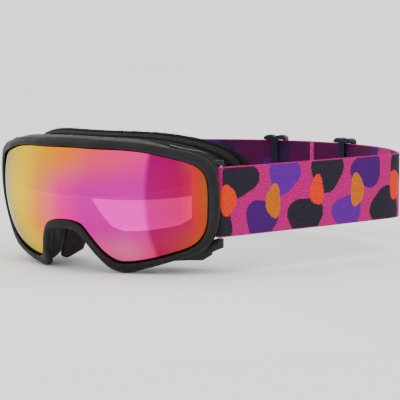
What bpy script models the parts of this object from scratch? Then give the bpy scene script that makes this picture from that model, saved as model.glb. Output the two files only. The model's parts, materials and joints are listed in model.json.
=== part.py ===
"""Ski goggles: a curved double lens in a vented frame, face foam, and an adjustable strap.

The goggles stand upright and look along -Y, with +X to the wearer's left and +Z up.
Sizes are in metres. The strap's swing axis runs along X through the two anchor pins.
Shapes are worked out from the lens, and moved at the end to an origin under the middle.
"""
import math

import bmesh
import bpy
from mathutils import Matrix, Vector

MM = 0.001

# Whole object
BASE_DROP = 46.48 * MM       # height of the lens datum line above the goggles' lowest point
ORIGIN_Y = 119.55 * MM       # middle of the whole object, counted from the lens's own zero
PITCH = 15.3                 # degrees the frame leans forward against the level strap
LENS_RADIUS = 96.0 * MM      # front surface of the outer lens, seen from above
LENS_Y = -10.6 * MM          # foremost point of the lens
LENS_BOW = 17.0              # vertical bow: y grows by half of this times z squared
BOW_CENTRE = -8.0 * MM
STEPS = 2                    # samples between two landmarks of an outline

# Front frame
LIP_FRONT = -2.4 * MM        # how far the bezel stands in front of the lens surface
LENS_EDGE = 2.0 * MM         # lens material hidden under the bezel's lip
GROOVE = 2.3 * MM
GROOVE_DEPTH = 5.8 * MM
WALL = 1.6 * MM
GAP = 0.3 * MM

VENTS = ((True, 9, 14, 9), (True, 27, 14, 9), (True, 45, 13, 8), (True, 60, 9, 7),
         (False, 42, 11, 7), (False, 56, 10, 6))

# Face side
FACE_Y = 18.5 * MM           # depth of the face flange at the middle
FACE_SWEEP = 3.9             # how fast it runs back towards the temples
FACE_BOW = 6.0               # vertical bow of the face side, like LENS_BOW
FACE_SWELL = 58.0            # how fast the layers behind it grow thicker towards the temples
FLANGE_T = 2.2 * MM
FOAM_LAYERS = (("foam_base", 2.5, 8.6), ("foam_mid", 8.9, 14.4), ("foam_fleece", 14.7, 17.6))

# Nose flaps: centre x, height, front y and back y of each level, in millimetres
NOSE_FLAP = ((9.0, -9.9, 8.0, 28.0), (13.0, -15.8, 6.4, 29.5), (16.6, -23.0, 5.4, 29.5),
             (19.8, -30.0, 4.8, 28.5), (21.3, -33.5, 6.0, 28.0), (22.8, -36.8, 11.0, 27.0))

# Strap
STRAP_W = 40.0 * MM
STRAP_T = 1.5 * MM
STRAP_MID = -5.0 * MM        # strap centre line against the lens datum line
PIN_X = 77.8 * MM
PIN_Y = 38.0 * MM
PIN_R = 1.2 * MM
SWING_INNER = 20.4 * MM      # the fixed sewn ends stop on this radius round the swing axis
SWING_OUTER = 21.2 * MM      # the moving bands start on this one
BACK_RADIUS = 118.0 * MM     # centre line of the strap round the back of the head
BACK_CENTRE_Y = 131.0 * MM
SIDE_PATH = ((82.3, 50.0), (86.2, 75.0), (91.4, 106.0), (96.8, 140.0), (101.0, 170.0),
             (102.4, 183.0), (101.9, 190.5), (98.6, 197.4))
ARC_START = 50               # degrees from the back's middle where the round part starts

# Strap brackets: how far they reach out from the lens opening at each outline sample they follow
BRACKET_START = 8
BRACKET_REACH = (4.5, 4.9, 5.6, 6.8, 8.2, 8.8, 8.6, 5.3, 5.3, 5.3, 5.3, 5.3, 5.3, 5.3,
                 9.0, 11.6, 11.2, 7.5, 5.2)

ARM_T = 3.0 * MM
ARM_LOW_T = 5.0 * MM
BRACKET_BACK = 5.0 * MM
ARM_TOP_ROOTS = ((93.2, 18.2, 2.6), (93.2, 18.2, 7.0), (89.5, 20.2, 2.6), (89.5, 20.2, 7.0))
ARM_LOW_ROOTS = ((84.8, -27.6, 2.6), (84.8, -27.6, 7.0), (81.0, -31.0, 2.6), (81.0, -31.0, 7.0),
                 (78.0, -34.6, 2.4), (78.0, -34.6, 4.6))

# Sliders
SLIDER_ANGLE = 13.7          # degrees from the back's middle
SLIDER_HALF = 8.0 * MM
LOBE_RISE = 3.6 * MM
SEAM_HALF = 1.6 * MM
SEAM_GAP = 0.1 * MM

# Landmarks of one half of each outline, in millimetres, from top middle round to nose middle.
# The first is the lens opening, measured along the lens; the second the face side, measured in x.
LENS_HALF = ((0, 36.0), (20, 35.2), (36, 33.9), (50, 31.4), (63, 27.4), (75, 23.0), (83.5, 18.0),
             (88, 12.0), (89.3, 4), (88.6, -5), (86.3, -14.5), (81, -22.2), (73, -26.6), (60, -29),
             (46, -30.9), (34, -31.4), (28, -29.8), (22.5, -23.4), (17, -12.8), (12.4, -5.8),
             (6.5, -3.4), (0, -3.0))
FACE_HALF = ((0, 33.2), (18, 32.8), (33, 31.6), (46, 29.2), (58, 25.2), (67.0, 20.4), (73.0, 15.0),
             (75.9, 9), (76.4, 2), (75.8, -5), (73.6, -13), (68.4, -20.6), (60, -26.4), (50, -30.4),
             (41, -33.6), (33.5, -35.4), (28.5, -34.6), (23.3, -27.6), (18.6, -17.5), (13.4, -8.8),
             (6.8, -4.6), (0, -3.8))
# Width of the bezel band at each lens landmark, in millimetres
BAND_HALF = (4.4, 4.2, 3.9, 4.0, 4.4, 5.0, 5.8, 6.4, 7.0, 7.2, 6.6, 6.0, 4.8, 4.3, 4.8, 6.4,
             6.8, 5.0, 4.5, 4.8, 5.0, 5.0)
# How far the soft layers spread outward beyond the face outline at each landmark
FLARE_HALF = (0, 0, 0, 0, 0.2, 0.9, 2.0, 2.9, 2.4, 1.2, 0.3, 0, 0, 0, 0, 0, 0, 0, 0, 0, 0, 0)


# ------------------------------------------------------------------ scene and materials

def clear_scene():
    for thing in list(bpy.data.objects):
        bpy.data.objects.remove(thing, do_unlink=True)


def make_collection(name):
    group = bpy.data.collections.new(name)
    bpy.context.scene.collection.children.link(group)
    return group


def paint(thing, colour, roughness, metallic=0.0, alpha=1.0):
    material = bpy.data.materials.new(thing.name)
    material.use_nodes = True
    shader = material.node_tree.nodes["Principled BSDF"]
    shader.inputs["Base Color"].default_value = (*colour, 1.0)
    shader.inputs["Roughness"].default_value = roughness
    shader.inputs["Metallic"].default_value = metallic
    shader.inputs["Alpha"].default_value = alpha
    thing.data.materials.append(material)


def add_object(name, mesh_data, group):
    thing = bpy.data.objects.new(name, mesh_data)
    group.objects.link(thing)
    return thing


def solid(name, verts, faces, group):
    """Make one closed body from points and faces, with its faces turned outward."""
    data = bpy.data.meshes.new(name)
    data.from_pydata([tuple(v) for v in verts], [], faces)
    work = bmesh.new()
    work.from_mesh(data)
    bmesh.ops.recalc_face_normals(work, faces=work.faces)
    work.to_mesh(data)
    work.free()
    return add_object(name, data, group)


def set_pivot(thing, y):
    """Put a moving piece's origin on its joint's axis without moving its shape."""
    point = Vector((0.0, y, STRAP_MID + BASE_DROP))
    thing.data.transform(Matrix.Translation(-point))
    thing.location = point


# ------------------------------------------------------------------ outlines

def spline(points, steps, closed):
    """Smooth curve through the points, with the same number of steps between each two."""
    count = len(points)
    spans = count if closed else count - 1
    result = []
    for i in range(spans):
        a = points[(i - 1) % count] if closed or i > 0 else points[0]
        b = points[i]
        c = points[(i + 1) % count]
        d = points[(i + 2) % count] if closed or i + 2 < count else points[-1]
        for j in range(steps):
            t = j / steps
            result.append(tuple(
                0.5 * (2 * b[k] + (c[k] - a[k]) * t
                       + (2 * a[k] - 5 * b[k] + 4 * c[k] - d[k]) * t * t
                       + (3 * b[k] - a[k] - 3 * c[k] + d[k]) * t ** 3)
                for k in range(len(b))))
    if not closed:
        result.append(tuple(points[-1]))
    return result


def full_outline(half, widths):
    """Mirror one half of an outline, smooth it, and turn millimetres into metres."""
    right = [(p[0], p[1], w) for p, w in zip(half, widths)]
    left = [(-p[0], p[1], w) for p, w in zip(half, widths)][-2:0:-1]
    loop = spline(right + left, STEPS, True)
    return [(x * MM, z * MM, w * MM) for x, z, w in loop]


def outward(loop):
    """Unit normals of a clockwise outline, pointing away from the eyes."""
    result = []
    count = len(loop)
    for i in range(count):
        dx = loop[(i + 1) % count][0] - loop[i - 1][0]
        dz = loop[(i + 1) % count][1] - loop[i - 1][1]
        size = math.hypot(dx, dz)
        result.append((-dz / size, dx / size))
    return result


def grow(loop, amounts):
    normals = outward(loop)
    if not isinstance(amounts, (list, tuple)):
        amounts = [amounts] * len(loop)
    return [(p[0] + n[0] * a, p[1] + n[1] * a) for p, n, a in zip(loop, normals, amounts)]


# ------------------------------------------------------------------ surfaces

def bow(z, strength):
    return 0.5 * strength * (z - BOW_CENTRE) ** 2


def place(point):
    """Lean a point of the upright frame forward about the strap pins' line and lift it."""
    lean = math.radians(PITCH)
    y = point[1] - PIN_Y
    z = point[2] - STRAP_MID
    return Vector((point[0], PIN_Y + y * math.cos(lean) - z * math.sin(lean),
                   BASE_DROP + STRAP_MID + y * math.sin(lean) + z * math.cos(lean)))


def on_lens(s, z, depth):
    """Point at arc length s along the lens and height z, sunk inward from the front surface."""
    angle = s / LENS_RADIUS
    radius = LENS_RADIUS - depth
    return place((radius * math.sin(angle),
                  LENS_Y + LENS_RADIUS - radius * math.cos(angle) + bow(z, LENS_BOW), z))


def on_face(x, z, depth):
    """Point on the curved face side, a given depth behind the flange's front."""
    front = FACE_Y + FACE_SWEEP * x * x + bow(z, FACE_BOW)
    return place((x, front + depth * (1 + FACE_SWELL * x * x), z))


def lens_ring(amounts, depth):
    return [on_lens(s, z, depth) for s, z in grow(LENS_LOOP, amounts)]


def face_ring(amount, depth):
    return [on_face(x, z, depth) for x, z in grow(FACE_LOOP, amount)]


def between(ring_a, ring_b, t):
    return [a.lerp(b, t) for a, b in zip(ring_a, ring_b)]


def ring_body(name, rings, group):
    """Closed ring: the section is the loop of rings, each ring runs round the whole outline."""
    count = len(rings[0])
    total = len(rings)
    verts = [v for ring in rings for v in ring]
    faces = []
    for j in range(total):
        k = (j + 1) % total
        for i in range(count):
            n = (i + 1) % count
            faces.append((j * count + i, j * count + n, k * count + n, k * count + i))
    return solid(name, verts, faces, group)


def part_ring(name, rings, first, last, group):
    """The same, for a stretch of the outline only, closed at both ends."""
    picked = [ring[first:last + 1] for ring in rings]
    count = last - first + 1
    total = len(rings)
    verts = [v for ring in picked for v in ring]
    faces = []
    for j in range(total):
        k = (j + 1) % total
        for i in range(count - 1):
            faces.append((j * count + i, j * count + i + 1, k * count + i + 1, k * count + i))
    faces.append(tuple(j * count for j in range(total)))
    faces.append(tuple(j * count + count - 1 for j in range(total)))
    return solid(name, verts, faces, group)


# ------------------------------------------------------------------ lenses

def height_range(loop, s):
    """Lowest and highest z where the vertical line at s crosses an outline."""
    found = []
    for i, a in enumerate(loop):
        b = loop[(i + 1) % len(loop)]
        if (a[0] - s) * (b[0] - s) <= 0 and a[0] != b[0]:
            t = (s - a[0]) / (b[0] - a[0])
            found.append(a[1] + t * (b[1] - a[1]))
    return min(found), max(found)


def lens_columns(loop):
    """Places along the lens to cross it: one at every corner of its outline."""
    places = []
    for s in sorted(p[0] for p in loop):
        if not places or s - places[-1] > 0.45 * MM:
            places.append(s)
    places[0] += 0.05 * MM
    places[-1] = -places[0]
    return places


def lens_shell(name, edge, front, back, group):
    """Curved pane: columns from end to end, rows from bottom to top, two faces."""
    loop = grow(LENS_LOOP, edge)
    places = lens_columns(loop)
    columns = len(places) - 1
    rows = 9
    verts = []
    for side in (front, back):
        for s in places:
            low, high = height_range(loop, s)
            for j in range(rows + 1):
                verts.append(on_lens(s, low + (high - low) * j / rows, side))
    tall = rows + 1
    shift = (columns + 1) * tall
    faces = []
    for i in range(columns):
        for j in range(rows):
            a = i * tall + j
            faces.append((a, a + 1, a + tall + 1, a + tall))
            faces.append((a + shift, a + shift + tall, a + shift + tall + 1, a + shift + 1))
        for a in (i * tall, i * tall + rows):
            faces.append((a, a + tall, a + tall + shift, a + shift))
    for start in (0, columns * tall):
        for j in range(rows):
            a = start + j
            faces.append((a, a + 1, a + 1 + shift, a + shift))
    return solid(name, verts, faces, group)


def build_lenses(group):
    outer = lens_shell("outer_lens", LENS_EDGE, 0.0, 1.2 * MM, group)
    paint(outer, (0.9, 0.25, 0.45), 0.1, 0.6, 0.8)
    inner = lens_shell("inner_lens", LENS_EDGE, 4.4 * MM, 5.2 * MM, group)
    paint(inner, (0.3, 0.15, 0.3), 0.1, 0.0, 0.5)
    rings = [lens_ring(a * MM, t * MM) for a, t in ((1.9, 1.5), (1.9, 4.2), (-1.6, 4.2), (-1.6, 1.5))]
    spacer = ring_body("lens_spacer_gasket", rings, group)
    paint(spacer, (0.02, 0.02, 0.02), 0.9)


# ------------------------------------------------------------------ frame

def wall_offset(extra):
    """Distance of the side wall's outer skin from the lens opening, round the outline."""
    return [min(p[2], 3.9 * MM) + extra for p in LENS_LOOP]


def wall_ring(extra, t):
    """Ring on the wall between the bezel (t = 0) and the face flange (t = 1)."""
    front = lens_ring(wall_offset(extra), GROOVE_DEPTH + 0.6 * MM)
    back = face_ring(extra - 2.6 * MM, -GAP)
    return between(front, back, t)


def add_box(name, size, centre, turn, group):
    """Plain box made from a cube, turned about its own centre."""
    data = bpy.data.meshes.new(name)
    work = bmesh.new()
    bmesh.ops.create_cube(work, size=1.0)
    bmesh.ops.scale(work, vec=size, verts=work.verts)
    work.transform(Matrix.Translation(centre) @ turn.to_4x4())
    work.to_mesh(data)
    work.free()
    return add_object(name, data, group)


def box_cutter(name, size, centre, turn, group):
    """Hidden box used only to cut another body."""
    cutter = add_box(name, size, centre, turn, group)
    cutter.hide_render = True
    cutter.display_type = "WIRE"
    return cutter


def cut(target, cutter, operation="DIFFERENCE"):
    step = target.modifiers.new("use_" + cutter.name, "BOOLEAN")
    step.operation = operation
    step.solver = "EXACT"
    step.object = cutter


def vent_cutters(group):
    """Boxes through the wall above the brow and under the cheeks."""
    outer = wall_ring(0.0, 0.5)
    lean = Matrix.Rotation(math.radians(PITCH), 3, "X")
    cutters = []
    for top, x, width, sink in VENTS:
        for side in (-1, 1):
            half = outer[:len(outer) // 4] + outer[-len(outer) // 4:] if top else \
                outer[len(outer) // 4:-len(outer) // 4]
            spot = min(half, key=lambda v: abs(v.x - side * x * MM))
            a = half[max(half.index(spot) - 1, 0)]
            yaw = math.atan2(2 * FACE_SWEEP * side * x * MM, 1.0)
            turn = lean @ Matrix.Rotation(yaw, 3, "Z")
            centre = Vector((side * x * MM, spot.y, (spot.z + a.z) / 2))
            name = "vent_%s_%d_%s" % ("top" if top else "low", x, "a" if side < 0 else "b")
            cutters.append(box_cutter(name, (width * MM, sink * MM, 9.0 * MM), centre, turn, group))
    return cutters


def build_frame(group, cutters):
    band = [p[2] for p in LENS_LOOP]
    wall = wall_offset(0.0)
    shelf = [w - 0.4 * MM for w in band]
    rings = [
        lens_ring(0.0, -GAP),
        lens_ring(0.0, -1.3 * MM),
        lens_ring(0.9 * MM, LIP_FRONT),
        lens_ring([w - 1.3 * MM for w in band], LIP_FRONT),
        lens_ring(band, -1.2 * MM),
        lens_ring(band, 0.7 * MM),
        lens_ring([max(a, b) for a, b in zip(wall, shelf)], 1.2 * MM),
        lens_ring(wall, 1.6 * MM),
        wall_ring(0.0, 0.0),
        wall_ring(0.0, 0.5),
        wall_ring(0.0, 1.0),
        wall_ring(-WALL, 1.0),
        wall_ring(-WALL, 0.5),
        wall_ring(-WALL, 0.08),
        lens_ring(GROOVE, GROOVE_DEPTH),
        lens_ring(GROOVE, -GAP),
    ]
    shell = ring_body("frame_shell", rings, group)
    paint(shell, (0.045, 0.047, 0.05), 0.5)
    for cutter in vent_cutters(cutters):
        cut(shell, cutter)
    rings = [face_ring(a * MM, t * MM) for a, t in ((-1.9, 0), (-1.9, 2.2), (-9.5, 2.2), (-9.5, 0))]
    flange = ring_body("face_flange", rings, group)
    paint(flange, (0.03, 0.03, 0.033), 0.6)


def build_vent_foams(group):
    """Thin porous strips inside the wall, behind the vents."""
    near = -WALL - GAP - 0.1 * MM
    far = near - 2.1 * MM
    rings = [wall_ring(near, 0.16), wall_ring(near, 0.92), wall_ring(far, 0.92), wall_ring(far, 0.3)]
    count = len(LENS_LOOP)
    turned = [ring[count // 2:] + ring[:count // 2] for ring in rings]
    middle = count // 2
    strips = (("vent_foam_top", turned, middle - 10, middle + 10),
              ("vent_foam_low_left", rings, 24, 30),
              ("vent_foam_low_right", rings, count - 30, count - 24))
    for name, source, first, last in strips:
        foam = part_ring(name, source, first, last, group)
        paint(foam, (0.025, 0.025, 0.027), 0.95)


# ------------------------------------------------------------------ face foam

def build_face_foam(group):
    """Three glued layers: two foams and a soft fleece against the skin."""
    for index, (name, start, end) in enumerate(FOAM_LAYERS):
        soft = 0.8 if index < 2 else 1.4
        outer = 0.4 + 0.4 * index
        inner = -9.8 + 0.3 * index
        section = ((outer - 0.4, start), (outer, start + soft), (outer, end - soft),
                   (outer - soft, end), (inner + soft, end), (inner, end - soft),
                   (inner, start + soft), (inner + 0.4, start))
        rings = []
        for a, t in section:
            spread = [a * MM + f[2] * index / 2 for f in FLARE_LOOP] if a > -5 else a * MM
            rings.append(face_ring(spread, t * MM))
        foam = ring_body(name, rings, group)
        paint(foam, (0.02, 0.019, 0.02) if index < 2 else (0.012, 0.012, 0.013), 0.95)


def build_nose_flaps(group):
    """Two soft flaps that close the gap beside the nose, hanging inside the nose arch."""
    for side, name in ((1, "nose_flap_left"), (-1, "nose_flap_right")):
        verts = []
        for x, z, start, end in NOSE_FLAP:
            for across, y in ((-1.1, start), (1.1, start), (1.1, end), (-1.1, end)):
                verts.append(place((side * (x + across) * MM, y * MM, z * MM)))
        last = 4 * (len(NOSE_FLAP) - 1)
        faces = [(0, 1, 2, 3), tuple(range(last, last + 4))]
        for j in range(len(NOSE_FLAP) - 1):
            for i in range(4):
                n = (i + 1) % 4
                faces.append((4 * j + i, 4 * j + n, 4 * j + 4 + n, 4 * j + 4 + i))
        flap = solid(name, verts, faces, group)
        paint(flap, (0.02, 0.018, 0.018), 0.95)


# ------------------------------------------------------------------ strap brackets and pins

def hull(name, points, group):
    """Convex block through the given corners."""
    work = bmesh.new()
    for point in points:
        work.verts.new(point)
    bmesh.ops.convex_hull(work, input=work.verts)
    loose = [v for v in work.verts if not v.link_faces]
    bmesh.ops.delete(work, geom=loose, context="VERTS")
    bmesh.ops.recalc_face_normals(work, faces=work.faces)
    data = bpy.data.meshes.new(name)
    work.to_mesh(data)
    work.free()
    block = add_object(name, data, group)
    block.hide_render = True
    block.display_type = "WIRE"
    return block


def mirrored(points, side):
    return [Vector((side * p[0], p[1], p[2])) for p in points]


def arm_block(name, side, low, high, roots, group):
    """Arm that holds one end of the pin: a collar round the pin joined to the bracket."""
    points = []
    for i in range(12):
        angle = math.tau * i / 12
        for z in (low, high):
            points.append(Vector((PIN_X + 2.1 * MM * math.cos(angle),
                                  PIN_Y + 2.1 * MM * math.sin(angle), z + BASE_DROP)))
    points += [on_lens(s * MM, z * MM, t * MM) for s, z, t in roots]
    return hull(name, mirrored(points, side), group)


def build_brackets(group, cutters):
    """Brackets behind the bezel's ends; each holds an upright strap pin between two arms."""
    last = BRACKET_START + len(BRACKET_REACH)
    wall = wall_offset(0.35 * MM)
    reach = list(wall)
    for i, value in enumerate(BRACKET_REACH):
        reach[BRACKET_START + i] = max(value * MM, wall[BRACKET_START + i] + 0.9 * MM)
    rings = [lens_ring(wall, 1.95 * MM), lens_ring(reach, 1.95 * MM),
             lens_ring([r - 0.2 * MM for r in reach], BRACKET_BACK),
             lens_ring([w + 0.2 * MM for w in wall], BRACKET_BACK)]
    top = STRAP_MID + STRAP_W / 2 + 1.0 * MM
    low = STRAP_MID - STRAP_W / 2 - 1.0 * MM
    for side, tag in ((1, "left"), (-1, "right")):
        picked = [mirrored(ring, side) for ring in rings]
        bracket = part_ring("strap_bracket_" + tag, picked, BRACKET_START, last - 1, group)
        paint(bracket, (0.03, 0.031, 0.034), 0.35)
        upper = arm_block("arm_top_" + tag, side, top, top + ARM_T, ARM_TOP_ROOTS, cutters)
        lower = arm_block("arm_low_" + tag, side, low - ARM_LOW_T, low, ARM_LOW_ROOTS, cutters)
        cut(bracket, upper, "UNION")
        cut(bracket, lower, "UNION")
        drill = pin_rod("pin_hole_" + tag, side, PIN_R + 0.08 * MM, 5.2 * MM, cutters)
        drill.hide_render = True
        drill.display_type = "WIRE"
        cut(bracket, drill)
        pin = pin_rod("strap_pin_" + tag, side, PIN_R, 4.6 * MM, group)
        paint(pin, (0.5, 0.5, 0.52), 0.3, 1.0)


def pin_rod(name, side, radius, extra, group):
    spot = (side * PIN_X, PIN_Y, STRAP_MID + BASE_DROP)
    bpy.ops.mesh.primitive_cylinder_add(vertices=20, radius=radius, depth=STRAP_W + extra,
                                        location=spot)
    rod = bpy.context.object
    rod.name = name
    for owner in list(rod.users_collection):
        owner.objects.unlink(rod)
    group.objects.link(rod)
    return rod


# ------------------------------------------------------------------ strap

def strap_path():
    """Centre line of the left half of the strap, seen from above, from the pin to the back."""
    arc = [(1000 * BACK_RADIUS * math.sin(math.radians(a)),
            1000 * (BACK_CENTRE_Y + BACK_RADIUS * math.cos(math.radians(a))))
           for a in range(ARC_START, -1, -2)]
    lead = spline(list(SIDE_PATH) + arc[:2], 3, False)[:-4]
    return [(x * MM, y * MM) for x, y in lead + arc]


def path_normals(path):
    result = []
    for i in range(len(path)):
        a = path[max(i - 1, 0)]
        b = path[min(i + 1, len(path) - 1)]
        dx = b[0] - a[0]
        dy = b[1] - a[1]
        size = math.hypot(dx, dy)
        result.append((dy / size, -dx / size))
    return result


def webbing(name, side, path_at, group):
    """Strap body: path_at gives the centre line seen from above at each height."""
    lift = Vector((0, 0, BASE_DROP))
    levels = 8
    heights = [STRAP_W * (j / levels - 0.5) for j in range(levels + 1)]
    columns = []
    for z in heights:
        path = path_at(z)
        normals = path_normals(path)
        column = []
        for p, n in zip(path, normals):
            pair = [Vector((side * (p[0] + n[0] * h), p[1] + n[1] * h, z + STRAP_MID))
                    for h in (STRAP_T / 2, -STRAP_T / 2)]
            column.append([v + lift for v in pair])
        columns.append(column)
    length = len(columns[0])
    verts = [columns[j][i][k] for i in range(length) for j in range(levels + 1) for k in (0, 1)]
    wide = 2 * (levels + 1)
    faces = []
    for i in range(length - 1):
        for j in range(levels):
            for k in (0, 1):
                a = i * wide + 2 * j + k
                faces.append((a, a + 2, a + wide + 2, a + wide))
        for a in (i * wide, i * wide + 2 * levels):
            faces.append((a, a + 1, a + wide + 1, a + wide))
    for start in (0, (length - 1) * wide):
        for j in range(levels):
            a = start + 2 * j
            faces.append((a, a + 1, a + 3, a + 2))
    return solid(name, verts, faces, group)


def band_path(z):
    """One strap half: starts on a circle round the swing axis, ends at the seam."""
    path = strap_path()
    start = PIN_Y + math.sqrt(SWING_OUTER ** 2 - z * z)
    lean = (path[3][0] - path[0][0]) / (path[3][1] - path[0][1])
    shift = start - path[0][1]
    kept = [p for p in path if p[1] > PIN_Y + SWING_OUTER + 6.0 * MM or p[0] < 60.0 * MM]
    first = (path[0][0] + shift * lean, start)
    lead = [(first[0] + (kept[0][0] - first[0]) * t / 4, first[1] + (kept[0][1] - first[1]) * t / 4)
            for t in range(4)]
    whole = lead + kept
    whole[-1] = (SEAM_GAP, whole[-1][1])
    return whole


def sewn_path(z):
    """Webbing turned round the pin and laid back on itself, ending on the inner circle."""
    path = strap_path()
    radius = PIN_R + 0.25 * MM + STRAP_T / 2
    ahead = Vector((path[3][0] - path[0][0], path[3][1] - path[0][1])).normalized()
    out = Vector((ahead.y, -ahead.x))
    pin = Vector((PIN_X, PIN_Y))
    reach = (math.sqrt(SWING_INNER ** 2 - z * z) + radius * ahead.x) / ahead.y
    points = [pin + out * radius + ahead * reach * t for t in (1.0, 0.75, 0.5, 0.25)]
    for i in range(9):
        turn = math.pi * i / 8
        points.append(pin + (out * math.cos(turn) - ahead * math.sin(turn)) * radius)
    second = math.sqrt(SWING_INNER ** 2 - z * z) / ahead.y
    for t in (0.25, 0.5, 0.75, 1.0):
        along = second * t
        blend = min(1.0, max(0.0, along - 1.6 * MM) / (4.6 * MM))
        blend = blend * blend * (3 - 2 * blend)
        offset = -radius + (2 * radius - STRAP_T - GAP) * blend
        points.append(pin + out * offset + ahead * along)
    return [(p.x, p.y) for p in points]


def build_strap(group):
    for side, tag in ((1, "left"), (-1, "right")):
        piece = webbing("strap_band_" + tag, side, band_path, group)
        paint(piece, (0.75, 0.02, 0.35), 0.85)
        set_pivot(piece, PIN_Y)
        end = webbing("strap_sewn_end_" + tag, side, sewn_path, group)
        paint(end, (0.85, 0.25, 0.05), 0.85)
    thick = 0.6 * MM
    front = BACK_CENTRE_Y + BACK_RADIUS - STRAP_T / 2 - 0.2 * MM - thick
    size = (2 * SEAM_HALF, thick, STRAP_W - 0.6 * MM)
    centre = Vector((0, front + thick / 2, STRAP_MID + BASE_DROP))
    tape = add_box("seam_tape", size, centre, Matrix.Identity(3), group)
    paint(tape, (0.8, 0.1, 0.5), 0.8)
    set_pivot(tape, PIN_Y)


def build_slider(name, side, group, cutters):
    """Two-lobed slider: centre bar inside the webbing, outer bars outside it."""
    angle = side * math.radians(SLIDER_ANGLE)
    outline = []
    steps = 16
    for i in range(steps + 1):
        t = -SLIDER_HALF + 2 * SLIDER_HALF * i / steps
        rise = LOBE_RISE * math.sqrt(1 - ((abs(t) - 4.0 * MM) / (4.6 * MM)) ** 2)
        outline.append((t, STRAP_W / 2 + rise))
    outline += [(t, -z) for t, z in reversed(outline)]
    low = 114.8 * MM
    high = 121.0 * MM
    verts = []
    for radius in (low, high):
        for t, z in outline:
            verts.append(back_point(angle, radius, t, z))
    count = len(outline)
    faces = [tuple(range(count)), tuple(range(count, 2 * count))]
    for i in range(count):
        n = (i + 1) % count
        faces.append((i, n, count + n, count + i))
    slider = solid(name, verts, faces, group)
    paint(slider, (0.02, 0.02, 0.022), 0.45)
    slot = STRAP_W + 0.8 * MM
    boxes = [("slot", 0.0, 20.0, 116.6, 119.05), ("inner_a", -7.3, 10.0, 113.0, 117.0),
             ("inner_b", 7.3, 10.0, 113.0, 117.0), ("outer", 0.0, 8.8, 118.5, 123.0)]
    for tag, shift, width, start, end in boxes:
        centre = back_point(angle, (start + end) / 2 * MM, shift * MM, 0.0)
        cutter = box_cutter(name + "_" + tag, (width * MM, (end - start) * MM, slot), centre,
                            Matrix.Rotation(-angle, 3, "Z"), cutters)
        cut(slider, cutter)
    set_pivot(slider, BACK_CENTRE_Y)


def back_point(angle, radius, across, z):
    """Point beside the strap's round back: angle from the middle, then sideways and up."""
    x = radius * math.sin(angle) + across * math.cos(angle)
    y = BACK_CENTRE_Y + radius * math.cos(angle) - across * math.sin(angle)
    return Vector((x, y, z + STRAP_MID + BASE_DROP))


LENS_LOOP = full_outline(LENS_HALF, BAND_HALF)
FACE_LOOP = full_outline(FACE_HALF, BAND_HALF)
FLARE_LOOP = full_outline(FACE_HALF, FLARE_HALF)


def main():
    clear_scene()
    group = make_collection("ski_goggles")
    cutters = make_collection("cutters")
    build_lenses(group)
    build_frame(group, cutters)
    build_vent_foams(group)
    build_face_foam(group)
    build_nose_flaps(group)
    build_brackets(group, cutters)
    build_strap(group)
    for side, tag in ((1, "left"), (-1, "right")):
        build_slider("slider_" + tag, side, group, cutters)
    for thing in list(group.objects) + list(cutters.objects):
        thing.location.y -= ORIGIN_Y


main()
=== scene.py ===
"""Looks for the ski goggles: mirrored lens, matt frame, soft foam and a patterned strap."""

import json
import math
import random

import bmesh
import bpy
import numpy as np
from mathutils import Matrix, Vector, noise


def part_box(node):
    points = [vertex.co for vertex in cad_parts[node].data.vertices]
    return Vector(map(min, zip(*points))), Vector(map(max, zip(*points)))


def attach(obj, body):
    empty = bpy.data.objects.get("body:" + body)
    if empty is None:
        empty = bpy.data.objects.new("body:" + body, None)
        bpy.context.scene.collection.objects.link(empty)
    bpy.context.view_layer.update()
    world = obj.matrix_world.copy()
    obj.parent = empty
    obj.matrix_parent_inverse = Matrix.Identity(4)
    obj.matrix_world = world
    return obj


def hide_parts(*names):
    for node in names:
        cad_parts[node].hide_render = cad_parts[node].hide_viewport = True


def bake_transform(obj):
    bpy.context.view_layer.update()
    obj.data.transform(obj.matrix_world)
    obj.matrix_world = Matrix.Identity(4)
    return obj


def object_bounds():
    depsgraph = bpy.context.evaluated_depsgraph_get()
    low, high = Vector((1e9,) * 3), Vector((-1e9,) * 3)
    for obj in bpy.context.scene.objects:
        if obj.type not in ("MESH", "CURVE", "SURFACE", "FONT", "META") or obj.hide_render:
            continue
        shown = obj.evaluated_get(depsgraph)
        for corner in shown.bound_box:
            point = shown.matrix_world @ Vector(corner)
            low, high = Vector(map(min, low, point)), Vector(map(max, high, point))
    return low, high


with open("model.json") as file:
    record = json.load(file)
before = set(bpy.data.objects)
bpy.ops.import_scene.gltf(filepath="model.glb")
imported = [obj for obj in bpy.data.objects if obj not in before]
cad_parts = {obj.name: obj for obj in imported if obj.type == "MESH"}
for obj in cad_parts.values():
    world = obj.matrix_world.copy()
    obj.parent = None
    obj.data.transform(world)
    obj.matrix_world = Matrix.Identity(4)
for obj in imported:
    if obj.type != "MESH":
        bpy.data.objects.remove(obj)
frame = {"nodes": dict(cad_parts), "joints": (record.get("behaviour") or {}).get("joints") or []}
CAD_BOX = [list(corner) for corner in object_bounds()]

MM = 0.001
JOINTS = {joint["name"]: joint for joint in frame["joints"]}
PIVOT = Vector(JOINTS["strap_swing"]["pos_m"])           # swing axis, at the strap's mid height
NODES = frame["nodes"]

# ------------------------------------------------------------------ design sizes, as in the CAD
# Upright frame coordinates: y runs back from the lens centre's own zero, z up from the lens datum.

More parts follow.
